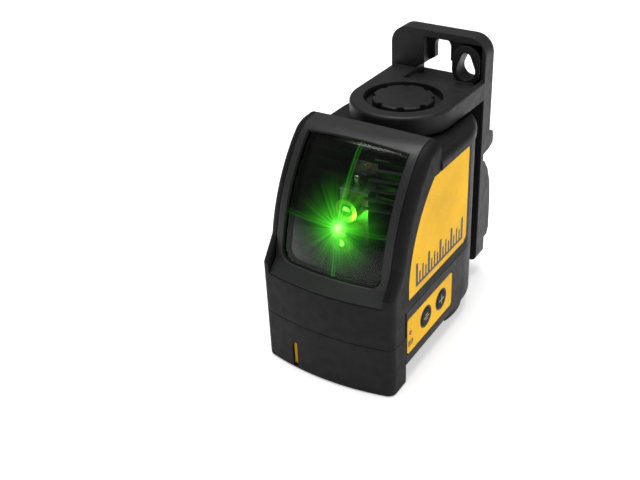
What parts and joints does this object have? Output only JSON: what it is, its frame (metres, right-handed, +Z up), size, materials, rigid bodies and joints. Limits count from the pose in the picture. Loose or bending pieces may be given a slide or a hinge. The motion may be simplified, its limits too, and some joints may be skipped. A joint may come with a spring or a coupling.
{
  "type": "cross-line laser level",
  "caption": "Self-levelling cross-line laser level: rubber-clad housing with smoked window, gimballed pendulum, keypad, lock slider and a swivelling magnetic wall bracket.",
  "frame": {"origin": "on the bracket's swivel axis, in the plane the level stands on, at the mouth of the tripod thread", "axes": "+Z up along the swivel axis, -Y out of the window, +X towards the keypad"},
  "size_m": [0.0658, 0.119, 0.1265],
  "materials": {
    "rubber_black": "matt overmoulded elastomer, fine grain",
    "plastic_black": "moulded, fine spark texture",
    "plastic_bracket": "moulded glass-filled nylon, spark texture",
    "bezel_grey": "moulded, satin",
    "yellow_plastic": "moulded, semi-gloss warm yellow",
    "smoked_window": "clear smoked polycarbonate",
    "lens_glass": "polished",
    "cast_alloy": "as cast, lightly blasted",
    "black_alloy": "black anodised",
    "brass": "machined",
    "copper": "rolled copper sheet",
    "steel": "zinc plated",
    "magnet": "nickel plated",
    "board_green": "solder mask",
    "cell_wrap": "shrink sleeve, plain",
    "light_lens": "diffuse tinted lens"
  },
  "bodies": {
    "level": {"overmould": "rubber_black", "lower_bumper": "rubber_black", "back_foot_pad": "rubber_black", "base_housing": "plastic_black", "rear_housing": "plastic_black", "top_deck": "plastic_black", "lock_guide": "plastic_black", "chassis": "plastic_black", "light_baffle": "plastic_black", "power_switch": "plastic_black", "board_parts": "plastic_black", "friction_washer": "plastic_black", "pivot_cap": "plastic_bracket", "window_bezel": "bezel_grey", "left_panel": "yellow_plastic", "right_panel": "yellow_plastic", "keypad_strip": "yellow_plastic", "window": "smoked_window", "hanger": "cast_alloy", "tripod_insert": "brass", "hanger_bearings": "brass", "damping_plate": "copper", "door_hinge_pin": "steel", "housing_screws": "steel", "pivot_screw": "steel", "dome_switches": "steel", "battery_springs": "steel", "battery_plates": "steel", "battery_cells": "cell_wrap", "main_board": "board_green", "keypad_board": "board_green", "status_light": "light_lens"},
    "bracket": {"bracket": "plastic_bracket", "swivel_bush": "plastic_black", "magnets": "magnet", "magnet_pad": "rubber_black"},
    "line_button": {"line_button": "rubber_black"},
    "cross_button": {"cross_button": "rubber_black"},
    "lock_slider": {"lock_tab": "plastic_black", "lock_mark": "yellow_plastic", "lock_carriage": "plastic_black"},
    "lock_pad": {"lock_pad": "rubber_black"},
    "battery_door": {"battery_door": "plastic_black"},
    "gimbal_ring": {"gimbal_ring": "cast_alloy", "ring_pins": "steel", "yoke_pins": "steel"},
    "pendulum": {"pendulum_body": "cast_alloy", "yoke_bearings": "brass", "bob": "brass", "balance_weight": "brass", "upper_laser": "brass", "lower_laser": "brass", "upper_lens": "lens_glass", "lower_lens": "lens_glass", "lens_holders": "black_alloy", "damping_magnets": "magnet"}
  },
  "joints": [
    {"name": "bracket_swivel", "type": "hinge", "parent": "level", "child": "bracket", "pos_m": [0, 0, 0.1], "axis": [0, 0, 1], "range_deg": [-90, 90]},
    {"name": "line_button_press", "type": "slide", "parent": "level", "child": "line_button", "axis": [-1, 0, 0], "range_m": [0, 0.0004], "stiffness_N_per_m": 1500, "springref_m": -0.0006},
    {"name": "cross_button_press", "type": "slide", "parent": "level", "child": "cross_button", "axis": [-1, 0, 0], "range_m": [0, 0.0004], "stiffness_N_per_m": 1500, "springref_m": -0.0006},
    {"name": "lock_slide", "type": "slide", "parent": "level", "child": "lock_slider", "axis": [1, 0, 0], "range_m": [0, 0.01]},
    {"name": "lock_lift", "type": "slide", "parent": "level", "child": "lock_pad", "axis": [0, 0, 1], "range_m": [0, 0.0012]},
    {"name": "battery_door_hinge", "type": "hinge", "parent": "level", "child": "battery_door", "pos_m": [0, -0.053, 0.0121], "axis": [-1, 0, 0], "range_deg": [0, 90]},
    {"name": "gimbal_roll", "type": "hinge", "parent": "level", "child": "gimbal_ring", "pos_m": [0, -0.018, 0.086], "axis": [0, 1, 0], "range_deg": [-4, 4]},
    {"name": "gimbal_pitch", "type": "hinge", "parent": "gimbal_ring", "child": "pendulum", "pos_m": [0, -0.018, 0.086], "axis": [1, 0, 0], "range_deg": [-4, 4]}
  ],
  "couplings": [
    {"joint": "lock_lift", "follows": "lock_slide", "ratio": 0.12}
  ]
}
